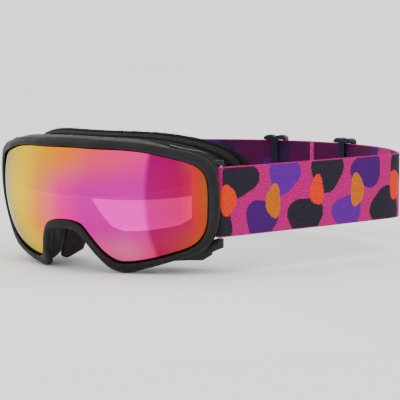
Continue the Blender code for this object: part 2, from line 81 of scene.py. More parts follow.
PITCH = math.radians(15.3)
PIN_Y = 38.0 * MM
STRAP_MID = -5.0 * MM
LENS_RADIUS = 96.0 * MM
LENS_Y = -10.6 * MM
LENS_BOW = 17.0
BOW_CENTRE = -8.0 * MM
FACE_Y = 18.5 * MM
FACE_SWEEP = 3.9
FACE_BOW = 6.0
FACE_SWELL = 58.0
LIP_FRONT = -2.4 * MM
GROOVE = 2.3 * MM
GROOVE_DEPTH = 5.8 * MM
WALL = 1.6 * MM
GAP = 0.3 * MM
WALL_REACH = 3.9 * MM        # most that the wall's front edge stands outside the lens outline
STEPS = 8                    # samples between two landmarks of an outline
LENS_EDGE = 1.9 * MM         # how far the lenses reach into the groove

# Right halves of the lens and face outlines in mm, from the top middle to the nose. BAND_HALF is
# the bezel's width and FLARE_HALF the foam's extra spread at each of their points.

LENS_HALF = ((0, 36.0), (20, 35.2), (36, 33.9), (50, 31.4), (63, 27.4), (75, 23.0), (83.5, 18.0),
             (88, 12.0), (89.3, 4), (88.6, -5), (86.3, -14.5), (81, -22.2), (73, -26.6), (60, -29),
             (46, -30.9), (34, -31.4), (28, -29.8), (22.5, -23.4), (17, -12.8), (12.4, -5.8),
             (6.5, -3.4), (0, -3.0))
FACE_HALF = ((0, 33.2), (18, 32.8), (33, 31.6), (46, 29.2), (58, 25.2), (67.0, 20.4), (73.0, 15.0),
             (75.9, 9), (76.4, 2), (75.8, -5), (73.6, -13), (68.4, -20.6), (60, -26.4), (50, -30.4),
             (41, -33.6), (33.5, -35.4), (28.5, -34.6), (23.3, -27.6), (18.6, -17.5), (13.4, -8.8),
             (6.8, -4.6), (0, -3.8))
BAND_HALF = (4.4, 4.2, 3.9, 4.0, 4.4, 5.0, 5.8, 6.4, 7.0, 7.2, 6.6, 6.0, 4.8, 4.3, 4.8, 6.4,
             6.8, 5.0, 4.5, 4.8, 5.0, 5.0)
FLARE_HALF = (0, 0, 0, 0, 0.2, 0.9, 2.0, 2.9, 2.4, 1.2, 0.3, 0, 0, 0, 0, 0, 0, 0, 0, 0, 0, 0)
# Nose flap levels: across, up, front and back, in mm
NOSE_FLAP = ((9.0, -9.9, 8.0, 28.0), (13.0, -15.8, 6.4, 29.5), (16.6, -23.0, 5.4, 29.5),
             (19.8, -30.0, 4.8, 28.5), (21.3, -33.5, 6.0, 28.0), (22.8, -36.8, 11.0, 27.0))
# Vents: in the upper half or not, place across, width, and length front to back, in mm
VENTS = ((True, 9, 14, 9), (True, 27, 14, 9), (True, 45, 13, 8), (True, 60, 9, 7),
         (False, 42, 11, 7), (False, 56, 10, 6))
# Foam layers: name, front and back, in mm behind the face edge
FOAM_LAYERS = (("foam_base", 2.5, 8.6), ("foam_mid", 8.9, 14.4), ("foam_fleece", 14.7, 17.6))

STRAP_W = 40.0 * MM
STRAP_T = 1.5 * MM
PIN_X = 77.8 * MM
PIN_R = 1.2 * MM
BACK_RADIUS = 118.0 * MM
BACK_CENTRE_Y = 131.0 * MM
# The strap's side, across and back, in mm
SIDE_PATH = ((82.3, 50.0), (86.2, 75.0), (91.4, 106.0), (96.8, 140.0), (101.0, 170.0),
             (102.4, 183.0), (101.9, 190.5), (98.6, 197.4))
ARC_START = 50               # degrees from the back's middle


# ------------------------------------------------------------------ outlines and surfaces

def spline(points, steps, closed):
    """Smooth curve through points given as rows of numbers."""
    points = np.array(points, float)
    count = len(points)
    rows = []
    for i in range(count if closed else count - 1):
        if closed:
            a, b, c, d = (points[(i + k) % count] for k in (-1, 0, 1, 2))
        else:
            a, b, c, d = (points[min(max(i + k, 0), count - 1)] for k in (-1, 0, 1, 2))
        for t in np.arange(steps) / steps:
            rows.append(0.5 * (2 * b + (c - a) * t + (2 * a - 5 * b + 4 * c - d) * t * t
                               + (3 * b - a - 3 * c + d) * t ** 3))
    if not closed:
        rows.append(points[-1])
    return np.array(rows)


def full_outline(half, widths):
    """Whole closed outline, with its widths, from the right half."""
    right = [(p[0], p[1], w) for p, w in zip(half, widths)]
    left = [(-p[0], p[1], w) for p, w in zip(half, widths)][-2:0:-1]
    return spline(right + left, STEPS, True) * MM


LENS_LOOP = full_outline(LENS_HALF, BAND_HALF)
FACE_LOOP = full_outline(FACE_HALF, FLARE_HALF)
BAND = LENS_LOOP[:, 2]
FLARE = FACE_LOOP[:, 2]
COUNT = len(LENS_LOOP)


def grow(loop, amount):
    """Move an outline outward in its own plane."""
    step = np.roll(loop[:, :2], -1, 0) - np.roll(loop[:, :2], 1, 0)
    step /= np.linalg.norm(step, axis=1)[:, None]
    normal = np.stack([-step[:, 1], step[:, 0]], 1)
    return loop[:, :2] + normal * np.broadcast_to(amount, len(loop))[:, None]


def place(x, y, z):
    """Lean points of the upright frame forward about the strap pins' line, into world space."""
    x, y, z = np.broadcast_arrays(x, y, z)
    dy = y - PIN_Y
    dz = z - STRAP_MID
    return np.stack([x, PIVOT.y + dy * math.cos(PITCH) - dz * math.sin(PITCH),
                     PIVOT.z + dy * math.sin(PITCH) + dz * math.cos(PITCH)], -1)


def bow(z, strength):
    """How far a surface bows back above and below its middle."""
    return 0.5 * strength * (z - BOW_CENTRE) ** 2


def on_lens(s, z, depth):
    """Points behind the lens's face, s measured along its curve."""
    angle = s / LENS_RADIUS
    radius = LENS_RADIUS - depth
    return place(radius * np.sin(angle),
                 LENS_Y + LENS_RADIUS - radius * np.cos(angle) + bow(z, LENS_BOW), z)


def on_face(x, z, depth):
    """Points behind the frame's face edge, where the foam sits."""
    front = FACE_Y + FACE_SWEEP * x * x + bow(z, FACE_BOW)
    return place(x, front + depth * (1 + FACE_SWELL * x * x), z)


def lens_ring(amount, depth):
    loop = grow(LENS_LOOP, amount)
    return on_lens(loop[:, 0], loop[:, 1], depth)


def face_ring(amount, depth):
    loop = grow(FACE_LOOP, amount)
    return on_face(loop[:, 0], loop[:, 1], depth)


def wall_offset(extra):
    return np.minimum(BAND, WALL_REACH) + extra


def wall_ring(extra, t):
    """One ring of the side wall, t from 0 at the bezel to 1 at the face."""
    front = lens_ring(wall_offset(extra), GROOVE_DEPTH + 0.6 * MM)
    back = face_ring(extra - 2.6 * MM, -GAP)
    return front * (1 - t) + back * t


def rounded(rings, times):
    """Cut the corners of a closed section again and again, until it is round."""
    for _ in range(times):
        cut = []
        for a, b in zip(rings, rings[1:] + rings[:1]):
            cut += [a * 0.75 + b * 0.25, a * 0.25 + b * 0.75]
        rings = cut
    return rings


def eased(corners, reach):
    """Two points near each corner of a section, so that rounding only takes the corner off."""
    points = []
    for i, corner in enumerate(corners):
        for other in (corners[i - 1], corners[(i + 1) % len(corners)]):
            length = math.dist(corner, other)
            share = min(0.4, reach / length)
            points.append((corner[0] + (other[0] - corner[0]) * share,
                           corner[1] + (other[1] - corner[1]) * share))
    return points


# ------------------------------------------------------------------ meshes

def make_object(name, verts, faces, material, angle=50):
    """Smooth-shaded mesh object, sharp where faces meet at more than an angle in degrees."""
    data = bpy.data.meshes.new(name)
    data.from_pydata([tuple(v) for v in verts], [], [tuple(int(i) for i in f) for f in faces])
    work = bmesh.new()
    work.from_mesh(data)
    bmesh.ops.recalc_face_normals(work, faces=work.faces)
    work.to_mesh(data)
    work.free()
    data.shade_smooth()
    data.set_sharp_from_angle(angle=math.radians(angle))
    data.materials.append(material)
    piece = bpy.data.objects.new(name, data)
    bpy.context.scene.collection.objects.link(piece)
    return piece


def grid_faces(rows, columns, wrap_rows, wrap_columns):
    """Quads of a lattice of points, wrapped round in either direction."""
    faces = []
    for j in range(rows if wrap_rows else rows - 1):
        k = (j + 1) % rows
        for i in range(columns if wrap_columns else columns - 1):
            n = (i + 1) % columns
            faces.append((j * columns + i, j * columns + n, k * columns + n, k * columns + i))
    return faces


def ring_body(name, rings, material, angle=50):
    """Closed body lofted through whole rings."""
    return make_object(name, np.concatenate(rings), grid_faces(len(rings), COUNT, True, True),
                       material, angle)


def part_ring(name, rings, first, last, material):
    """Capped strip lofted through one stretch of the rings."""
    picked = [ring[first:last + 1] for ring in rings]
    count = last - first + 1
    faces = grid_faces(len(rings), count, True, False)
    faces.append([j * count for j in range(len(rings))])
    faces.append([j * count + count - 1 for j in range(len(rings))])
    return make_object(name, np.concatenate(picked), faces, material)


def roughen(piece, size, amount, seed):
    """Push the points of a soft piece in and out by smooth noise."""
    shift = Vector((seed * 3.7, seed * 1.3, seed * 2.1))
    for vertex in piece.data.vertices:
        spot = vertex.co / size
        value = noise.noise(spot + shift) + 0.5 * noise.noise(spot * 2.3 + shift)
        vertex.co += vertex.normal * value * amount


def settle(piece):
    """Replace a piece's mesh by its modified one, and drop the modifiers."""
    bpy.context.view_layer.update()
    graph = bpy.context.evaluated_depsgraph_get()
    data = bpy.data.meshes.new_from_object(piece.evaluated_get(graph))
    piece.modifiers.clear()
    piece.data = data


WELD_DISTANCE = 0.000002     # metres


def drop_crumbs(piece, fewest):
    """Delete the tiny loose bits and the faces folded flat that cutting leaves behind."""
    work = bmesh.new()
    work.from_mesh(piece.data)
    bmesh.ops.remove_doubles(work, verts=work.verts, dist=WELD_DISTANCE)
    seen = set()
    crumbs = []
    for start in work.verts:
        if start in seen:
            continue
        island = [start]
        seen.add(start)
        for vertex in island:
            for edge in vertex.link_edges:
                other = edge.other_vert(vertex)
                if other not in seen:
                    seen.add(other)
                    island.append(other)
        if len(island) < fewest:
            crumbs += island
    bmesh.ops.delete(work, geom=crumbs, context="VERTS")
    bmesh.ops.triangulate(work, faces=work.faces)
    work.verts.index_update()
    twins = {}
    for face in work.faces:
        twins.setdefault(frozenset(v.index for v in face.verts), []).append(face)
    folded = [face for group in twins.values() if len(group) > 1 for face in group]
    bmesh.ops.delete(work, geom=folded, context="FACES_ONLY")
    work.to_mesh(piece.data)
    work.free()


def join_parts(name, parts, material):
    """One mesh from many small ones, given as (points, faces)."""
    verts = []
    faces = []
    for points, polygons in parts:
        start = len(verts)
        verts += [tuple(p) for p in points]
        faces += [tuple(start + i for i in f) for f in polygons]
    return make_object(name, verts, faces, material, 80)


# ------------------------------------------------------------------ materials

def linear(colour):
    """Linear light from a colour given in 0 to 255 display values."""
    return tuple((c / 255) ** 2.2 for c in colour) + (1.0,)


class Surface:
    """A Principled material with short ways to add nodes."""

    def __init__(self, name, colour, roughness, **values):
        self.material = bpy.data.materials.new(name)
        self.material.use_nodes = True
        self.nodes = self.material.node_tree.nodes
        self.links = self.material.node_tree.links
        self.shader = self.nodes["Principled BSDF"]
        self.shader.inputs["Base Color"].default_value = linear(colour)
        self.shader.inputs["Roughness"].default_value = roughness
        for key, value in values.items():
            self.shader.inputs[key.replace("_", " ")].default_value = value

    def add(self, kind, **settings):
        node = self.nodes.new(kind)
        for key, value in settings.items():
            setattr(node, key, value)
        return node

    def place_by(self):
        return self.add("ShaderNodeTexCoord").outputs["Object"]

    def noise(self, scale, detail=3.0, where=None):
        node = self.add("ShaderNodeTexNoise")
        node.inputs["Scale"].default_value = scale
        node.inputs["Detail"].default_value = detail
        self.links.new(where or self.place_by(), node.inputs["Vector"])
        return node.outputs["Fac"]

    def ramp(self, value, stops):
        node = self.add("ShaderNodeValToRGB")
        elements = node.color_ramp.elements
        while len(elements) < len(stops):
            elements.new(0.5)
        for element, (at, colour) in zip(elements, stops):
            element.position = at
            element.color = colour
        self.links.new(value, node.inputs["Fac"])
        return node.outputs["Color"]

    def math(self, operation, a, b):
        node = self.add("ShaderNodeMath", operation=operation)
        for socket, value in zip(node.inputs, (a, b)):
            if isinstance(value, (int, float)):
                socket.default_value = value
            else:
                self.links.new(value, socket)
        return node.outputs["Value"]

    def mix(self, factor, a, b):
        node = self.add("ShaderNodeMix", data_type="RGBA")
        for name, value in (("Factor", factor), ("A", a), ("B", b)):
            socket = [s for s in node.inputs if s.name == name and s.enabled][0]
            if isinstance(value, (tuple, float, int)):
                socket.default_value = value
            else:
                self.links.new(value, socket)
        return [s for s in node.outputs if s.enabled][0]

    def span(self, value, low, high):
        """Turn a noise value into a number between low and high."""
        node = self.add("ShaderNodeMapRange")
        node.inputs["From Min"].default_value = 0.3
        node.inputs["From Max"].default_value = 0.7
        node.inputs["To Min"].default_value = low
        node.inputs["To Max"].default_value = high
        self.links.new(value, node.inputs["Value"])
        return node.outputs["Result"]

    def bump(self, height, distance, strength):
        node = self.add("ShaderNodeBump")
        node.inputs["Distance"].default_value = distance
        node.inputs["Strength"].default_value = strength
        self.links.new(height, node.inputs["Height"])
        self.links.new(node.outputs["Normal"], self.shader.inputs["Normal"])

    def colour(self, socket):
        self.links.new(socket, self.shader.inputs["Base Color"])

    def roughness(self, socket):
        self.links.new(socket, self.shader.inputs["Roughness"])


def moulded(name, dark, light, low, high, grain):
    """Moulded plastic: fine spark grain, faint cloudy shade, uneven gloss."""
    surface = Surface(name, dark, low, Specular_IOR_Level=0.17)
    cloud = surface.noise(90.0, 4.0)
    surface.colour(surface.mix(surface.span(cloud, 0.0, 1.0), linear(dark), linear(light)))
    surface.roughness(surface.span(surface.noise(260.0, 2.0), low, high))
    surface.bump(surface.noise(grain, 2.0), 0.00006, 0.5)
    return surface.material


def foam(name, dark, light, cell, depth, sheen):
    """Soft open foam or fleece: pits or pile in the bump, dull, with a little sheen."""
    surface = Surface(name, dark, 0.95, Sheen_Weight=sheen, Sheen_Roughness=0.6,
                      Specular_IOR_Level=0.15)
    cells = surface.add("ShaderNodeTexVoronoi")
    cells.inputs["Scale"].default_value = cell
    surface.links.new(surface.place_by(), cells.inputs["Vector"])
    grain = surface.noise(cell * 0.6, 5.0)
    height = surface.math("ADD", cells.outputs["Distance"], grain)
    surface.colour(surface.mix(surface.span(grain, 0.0, 1.0), linear(dark), linear(light)))
    surface.bump(height, depth, 0.9)
    return surface.material


def coat_with_painted_reflection():
    """Multicolour mirror: gold at one end through pink to deep magenta at the other, with painted
    reflection in the colour: a darker step along the lens and bands that change with height.
    """
    surface = Surface("lens_mirror", (250, 90, 160), 0.05, Metallic=1.0,
                      Specular_Tint=(0.55, 0.5, 0.45, 1.0))
    where = surface.place_by()
    split = surface.add("ShaderNodeSeparateXYZ")
    surface.links.new(where, split.inputs["Vector"])
    across = surface.math("MULTIPLY_ADD", split.outputs["X"], 1 / 0.16)
    across.node.inputs[2].default_value = 0.5
    tilt = surface.add("ShaderNodeVectorMath", operation="DOT_PRODUCT")
    tilt.inputs[1].default_value = (0.0, -math.sin(PITCH), math.cos(PITCH))
    surface.links.new(where, tilt.inputs[0])
    datum = -PIVOT.y * math.sin(PITCH) + PIVOT.z * math.cos(PITCH) - STRAP_MID
    height = surface.math("SUBTRACT", tilt.outputs["Value"], datum)
    rows = []
    # Each row is the coat's own colour with painted reflection in it, darker from 51.5 mm on
    for stops in COAT_AND_REFLECTION_ROWS:
        rows.append(surface.ramp(across, [(0.5 + x / 160, linear(c)) for x, c in stops]))
    colour = rows[0]
    # Blend the rows by height; these height bands are painted reflection
    for row, (low, high) in zip(rows[1:], COAT_AND_REFLECTION_HEIGHTS):
        change = surface.add("ShaderNodeMapRange", interpolation_type="SMOOTHSTEP")
        change.inputs["From Min"].default_value = low * MM
        change.inputs["From Max"].default_value = high * MM
        surface.links.new(height, change.inputs["Value"])
        colour = surface.mix(change.outputs["Result"], colour, row)
    surface.colour(colour)
    surface.roughness(surface.span(surface.noise(40.0, 2.0), 0.03, 0.07))
    return surface.material


# Lens colours by place along the lens in mm, at three heights, bottom row first, fitted to
# colours measured in the photograph. They hold the coat's own change from gold through pink to
# magenta together with painted reflection: the darker step from 51.5 mm on and the changes
# between the heights. The heights table below gives where each row changes to the next.
COAT_AND_REFLECTION_ROWS = (
    ((-76, (212, 185, 124)), (-56, (229, 194, 116)), (-38, (253, 224, 82)), (-20, (253, 196, 12)),
     (20, (233, 93, 132)), (38, (233, 101, 160)), (49, (233, 53, 124)), (51.5, (172, 33, 86)),
     (62, (176, 58, 65)), (70, (180, 77, 37)), (77, (138, 77, 40))),
    ((-76, (181, 156, 118)), (-56, (253, 222, 94)), (-38, (253, 204, 12)), (-20, (233, 134, 62)),
     (-2, (233, 22, 128)), (14, (195, 8, 147)), (49, (195, 8, 147)), (51.5, (153, 8, 101)),
     (66, (160, 8, 78)), (70.4, (180, 20, 66)), (71.4, (197, 31, 48)), (74, (175, 61, 39)),
     (77, (138, 81, 42))),
    ((-76, (119, 117, 104)), (-56, (205, 203, 100)), (-38, (237, 196, 12)), (-20, (224, 152, 12)),
     (-2, (233, 121, 14)), (18, (233, 64, 86)), (49, (233, 27, 124)), (51.5, (145, 8, 92)),
     (64, (150, 8, 82)), (71, (160, 77, 42)), (78, (97, 65, 42))),
)
COAT_AND_REFLECTION_HEIGHTS = ((-28, -6), (12, 33))        # mm above the lens datum


def webbing_thread(name, colour):
    """Woven elastic: short ribs like bricks, fuzzy, with thread-to-thread colour change."""
    surface = Surface(name, colour, 0.85, Sheen_Weight=0.04, Sheen_Roughness=0.5,
                      Specular_IOR_Level=0.1)
    flat = surface.add("ShaderNodeUVMap", uv_map="weave").outputs["UV"]
    ribs = surface.add("ShaderNodeTexBrick")
    for key, value in (("Scale", 1.0), ("Mortar Size", 0.22), ("Mortar Smooth", 1.0),
                       ("Brick Width", 2.4), ("Row Height", 1.15)):
        ribs.inputs[key].default_value = value
    ribs.inputs["Color1"].default_value = (1, 1, 1, 1)
    ribs.inputs["Color2"].default_value = (0.82, 0.82, 0.82, 1)
    ribs.inputs["Mortar"].default_value = (0.3, 0.3, 0.3, 1)
    surface.links.new(flat, ribs.inputs["Vector"])
    grain = surface.noise(1.3, 3.0, flat)
    dark = linear([c * 0.72 for c in colour])
    light = linear([min(255, c * 1.08 + 6) for c in colour])
    tint = surface.mix(surface.span(grain, 0.0, 1.0), dark, light)
    surface.colour(surface.mix(surface.math("MULTIPLY", ribs.outputs["Fac"], 0.7), tint, dark))
    surface.bump(ribs.outputs["Color"], 0.0003, 0.9)
    return surface.material


# ------------------------------------------------------------------ lenses

PANE_COLUMNS = 181
PANE_ROWS = 40


def lens_pane(name, front, back, material):
    """Curved pane as a closed lattice between the outline's lower and upper edges."""
    loop = grow(LENS_LOOP, LENS_EDGE)
    ends = loop[:, 0].max() - 0.05 * MM
    places = np.linspace(-ends, ends, PANE_COLUMNS)
    rows = PANE_ROWS
    low = np.full(len(places), 1.0)
    high = np.full(len(places), -1.0)
    for a, b in zip(loop, np.roll(loop, -1, 0)):
        if a[0] == b[0]:
            continue
        t = (places - a[0]) / (b[0] - a[0])
        z = a[1] + t * (b[1] - a[1])
        hit = (t >= 0) & (t <= 1)
        low = np.where(hit, np.minimum(low, z), low)
        high = np.where(hit, np.maximum(high, z), high)
    share = np.linspace(0, 1, rows + 1)[:, None]
    z = low + (high - low) * share
    s = np.broadcast_to(places, z.shape)
    verts = np.concatenate([on_lens(s.ravel(), z.ravel(), depth) for depth in (front, back)])
    columns = len(places)
    sheet = grid_faces(rows + 1, columns, False, False)
    shift = (rows + 1) * columns
    faces = list(sheet) + [tuple(i + shift for i in f) for f in sheet]
    rim = list(range(columns)) + [j * columns + columns - 1 for j in range(1, rows + 1)]
    rim += [rows * columns + i for i in range(columns - 2, -1, -1)]
    rim += [j * columns for j in range(rows - 1, 0, -1)]
    for a, b in zip(rim, rim[1:] + rim[:1]):
        faces.append((a, b, b + shift, a + shift))
    pane = make_object(name, verts, faces, material, 60)
    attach(pane, "frame")
    return pane


def build_lenses():
    outer = lens_pane("lens_mirrored", 0.0, 1.2 * MM, coat_with_painted_reflection())
    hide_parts("outer_lens")
    tint = Surface("lens_inner_tint", (120, 52, 92), 0.06, IOR=1.58, Coat_Weight=0.3)
    tint.colour(tint.mix(tint.span(tint.noise(14.0), 0.0, 1.0), linear((96, 40, 74)),
                         linear((134, 66, 98))))
    tint.roughness(tint.span(tint.noise(60.0), 0.04, 0.1))
    inner = lens_pane("lens_clear", 4.4 * MM, 5.2 * MM, tint.material)
    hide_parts("inner_lens")
    corners = ((1.9, 1.5), (1.9, 4.2), (-1.6, 4.2), (-1.6, 1.5))
    section = [lens_ring(a * MM, t * MM) for a, t in eased(corners, 0.5)]
    spacer = ring_body("spacer_gasket", rounded(section, 2), FOAM_FINE)
    finish_soft(spacer, "lens_spacer_gasket")


# ------------------------------------------------------------------ frame

VENT_HEIGHT = 9.0 * MM       # taller than the wall is thick, so the cut goes through
VENT_ROUND = 1.2 * MM


def vent_box(size, centre, turn):
    """Box with rounded edges that cuts one vent."""
    box = bpy.data.objects.new("vent_box", bpy.data.meshes.new("vent_box"))
    work = bmesh.new()
    bmesh.ops.create_cube(work, size=1.0)
    bmesh.ops.scale(work, vec=size, verts=work.verts)
    bmesh.ops.bevel(work, geom=work.edges[:], offset=VENT_ROUND, segments=3, affect="EDGES",
                    profile=0.5)
    work.transform(Matrix.Translation(centre) @ turn.to_4x4())
    work.to_mesh(box.data)
    work.free()
    bpy.context.scene.collection.objects.link(box)
    return box


def vent_boxes():
    """A cutter for each vent, at its place on the wall on both sides."""
    outer = wall_ring(0.0, 0.5)
    lean = Matrix.Rotation(PITCH, 3, "X")
    quarter = COUNT // 4
    upper = np.concatenate([outer[:quarter], outer[-quarter:]])
    lower = outer[quarter:-quarter]
    boxes = []
    for top, x, width, sink in VENTS:
        for side in (-1, 1):
            half = upper if top else lower
            spot = half[np.argmin(abs(half[:, 0] - side * x * MM))]
            yaw = math.atan(2 * FACE_SWEEP * side * x * MM)
            turn = lean @ Matrix.Rotation(yaw, 3, "Z")
            boxes.append(vent_box((width * MM, sink * MM, VENT_HEIGHT), Vector(spot), turn))
    return boxes


FEWEST_POINTS = 400          # loose bits of the frame with fewer are cutting waste


def build_frame():
    wall = wall_offset(0.0)
    shelf = np.maximum(wall, BAND - 0.4 * MM)
    rings = [
        lens_ring(0.0, -GAP), lens_ring(0.0, -1.3 * MM), lens_ring(0.9 * MM, LIP_FRONT),
        lens_ring(BAND * 0.5, LIP_FRONT - 0.35 * MM),
        lens_ring(BAND - 1.3 * MM, LIP_FRONT), lens_ring(BAND, -1.2 * MM),
        lens_ring(BAND, 0.7 * MM), lens_ring(shelf, 1.2 * MM), lens_ring(wall, 1.6 * MM),
        wall_ring(0.0, 0.0), wall_ring(0.0, 0.5), wall_ring(0.0, 1.0),
        wall_ring(-WALL, 1.0), wall_ring(-WALL, 0.5), wall_ring(-WALL, 0.08),
        lens_ring(GROOVE, GROOVE_DEPTH), lens_ring(GROOVE, -GAP)]
    shell = ring_body("frame_moulding", rounded(rings, 2), FRAME_PLASTIC, 40)
    boxes = vent_boxes()
    for box in boxes:
        step = shell.modifiers.new("vent", "BOOLEAN")
        step.object = box
        step.solver = "EXACT"
    settle(shell)
    for box in boxes:
        bpy.data.objects.remove(box)
    drop_crumbs(shell, FEWEST_POINTS)
    shell.data.shade_smooth()
    shell.data.set_sharp_from_angle(angle=math.radians(38))
    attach(shell, "frame")
    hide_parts("frame_shell")
    corners = ((-1.9, 0.0), (-1.9, 2.2), (-9.5, 2.2), (-9.5, 0.0))
    section = [face_ring(a * MM, t * MM) for a, t in eased(corners, 0.5)]
    flange = ring_body("flange_moulding", rounded(section, 2), DARK_PLASTIC)
    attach(flange, "frame")
    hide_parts("face_flange")


def soften_node(name, width, material):
    """Keep a hard CAD part, with rounded edges and its own material."""
    node = NODES[name]
    weld = node.modifiers.new("weld", "WELD")
    weld.merge_threshold = 0.00001
    edge = node.modifiers.new("round", "BEVEL")
    edge.width = width
    edge.segments = 3
    edge.limit_method = "ANGLE"
    edge.angle_limit = math.radians(28)
    edge.harden_normals = True
    node.data.materials.clear()
    node.data.materials.append(material)
    for polygon in node.data.polygons:
        polygon.use_smooth = True


# ------------------------------------------------------------------ soft parts

def finish_soft(piece, node):
    """Put a soft piece on the frame in place of its CAD node."""
    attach(piece, "frame")
    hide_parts(node)


FIBRES = 9000


def build_face_foam():
    """Two foam layers and the fleece, each a rounded ring behind the face edge."""
    for index, (name, start, end) in enumerate(FOAM_LAYERS):
        soft = 0.8 if index < 2 else 1.4
        outer = 0.4 + 0.4 * index
        inner = -9.8 + 0.3 * index
        section = ((outer - 0.4, start), (outer, start + soft), (outer, (start + end) / 2),
                   (outer, end - soft), (outer - soft, end), ((outer + inner) / 2, end),
                   (inner + soft, end), (inner, end - soft), (inner, start + soft),
                   (inner + 0.4, start))
        rings = []
        for a, t in section:
            spread = a * MM + (FLARE * index / 2 if a > -4 else 0.0)
            rings.append(face_ring(spread, t * MM))
        material = FLEECE if index == 2 else FOAM_DENSE
        layer = ring_body(name + "_soft", rounded(rings, 2), material, 80)
        roughen(layer, 0.0028, 0.00022 if index < 2 else 0.0003, index + 1)
        finish_soft(layer, name)
        if index == 2:
            add_pile(layer, FIBRES)


def add_pile(layer, count):
    """Short loose fibres that stand out of the fleece and break up its outline."""
    random.seed(5)
    parts = []
    for _ in range(count):
        polygon = layer.data.polygons[random.randrange(len(layer.data.polygons))]
        root = polygon.center
        drift = Vector([random.uniform(-1, 1) for _ in range(3)])
        side = polygon.normal.cross(drift).normalized() * 0.00007
        across = polygon.normal.cross(side)
        tip = root + polygon.normal * random.uniform(0.0003, 0.0009) + drift * 0.0004
        corners = [root - side - across * 0.6, root + side - across * 0.6, root + across, tip]
        parts.append((corners, [(0, 1, 2), (0, 1, 3), (1, 2, 3), (2, 0, 3)]))
    pile = join_parts("fleece_pile", parts, FLEECE)
    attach(pile, "frame")


def build_vent_foams():
    near = -WALL - GAP - 0.1 * MM
    far = near - 2.1 * MM
    section = ((near, 0.16), (near, 0.2), (near, 0.88), (near, 0.92), (far, 0.92), (far, 0.88),
               (far, 0.34), (far, 0.3))
    rings = rounded([wall_ring(extra, t) for extra, t in section], 2)
    turned = [np.roll(ring, COUNT // 2, 0) for ring in rings]
    scale = STEPS // 2
    middle = COUNT // 2
    strips = (("vent_foam_top", turned, middle - 10 * scale, middle + 10 * scale),
              ("vent_foam_low_left", rings, 24 * scale, 30 * scale),
              ("vent_foam_low_right", rings, COUNT - 30 * scale, COUNT - 24 * scale))
    for name, source, first, last in strips:
        strip = part_ring(name + "_soft", source, first, last, FOAM_OPEN)
        finish_soft(strip, name)


def build_nose_flaps():
    """Thin foam flaps, lofted from rounded sections down their length."""
    levels = spline(NOSE_FLAP, 6, False) * MM
    corners = 20
    for side, tag in ((1, "left"), (-1, "right")):
        verts = []
        for x, z, start, end in levels:
            for i in range(corners):
                turn = math.tau * i / corners
                across = 1.1 * MM * np.sign(math.cos(turn)) * abs(math.cos(turn)) ** 0.6
                along = np.sign(math.sin(turn)) * abs(math.sin(turn)) ** 0.35
                y = (start + end) / 2 + (end - start) / 2 * along
                verts.append(place(side * (x + across), y, z))
        faces = grid_faces(len(levels), corners, False, True)
        last = (len(levels) - 1) * corners
        faces += [list(range(corners)), list(range(last, last + corners))]
        flap = make_object("nose_flap_%s_soft" % tag, verts, faces, FOAM_FLAP, 70)
        finish_soft(flap, "nose_flap_" + tag)


# ------------------------------------------------------------------ strap

THREADS = {
    "pink": (186, 11, 112), "navy": (38, 34, 46), "purple": (70, 11, 104), "violet": (96, 13, 146),
    "orange": (204, 104, 10), "coral": (238, 56, 12), "shade": (52, 22, 66), "plum": (78, 10, 64)}

# Thread that shows on the strap's inside behind each face colour, on either half
BACK_THREADS = {
    1: {"pink": "purple", "navy": "plum", "purple": "plum", "violet": "pink", "orange": "purple",
        "coral": "navy", "shade": "shade", "plum": "plum"},
    -1: {"pink": "shade", "navy": "plum", "purple": "plum", "violet": "purple", "orange": "navy",
         "coral": "purple", "shade": "shade", "plum": "plum"}}

# Plain rounded patches on one repeat of the strap, two even rows with small ones between them:
# colour, middle along and up the strap, half length and half height, all in millimetres
PATCHES = (
    ("navy", 0, 13, 15, 11), ("purple", 18, -12, 13, 12), ("violet", 37, 13, 13, 11),
    ("navy", 55, -13, 15, 12), ("navy", 74, 13, 14, 12), ("violet", 92, -13, 13, 11),
    ("purple", 110, 12, 14, 11), ("navy", 128, -12, 14, 12),
    ("orange", 28, -2, 6, 10), ("coral", 65, 2, 6, 9), ("orange", 101, 0, 6, 10),
    ("coral", 138, 1, 6, 9))
REPEAT = 147.0
PATCH_WAVE = 0.1             # how far a patch departs from an oval, as a share of its size
EDGE_START = 19.2            # plain edge of the strap's print, mm from its middle
BINDING_START = 19.5         # edge where both faces have the first thread colour
RIGHT_SHIFT = 52.0           # print of the right half against the left, mm
WEB_SPACING = 0.6 * MM
WEB_ROWS = 72
EDGE_ROLL = 0.9 * MM         # width over which the strap thins to its edge
EDGE_THINNING = 0.45


def thread_index(along, up):
    """Thread colour of each cell of the strap's face, from its place on the pattern."""
    names = list(THREADS)
    index = np.full(len(along), names.index("pink"))
    for name, middle, height, half_length, half_height in PATCHES:
        x = ((along - middle + REPEAT / 2) % REPEAT - REPEAT / 2) / half_length
        y = (up - height) / half_height
        edge = 1 + PATCH_WAVE * np.cos(3 * np.arctan2(y, x) + middle)
        index[np.hypot(x, y) < edge] = names.index(name)
    index[abs(up) > EDGE_START] = names.index("pink")
    return index


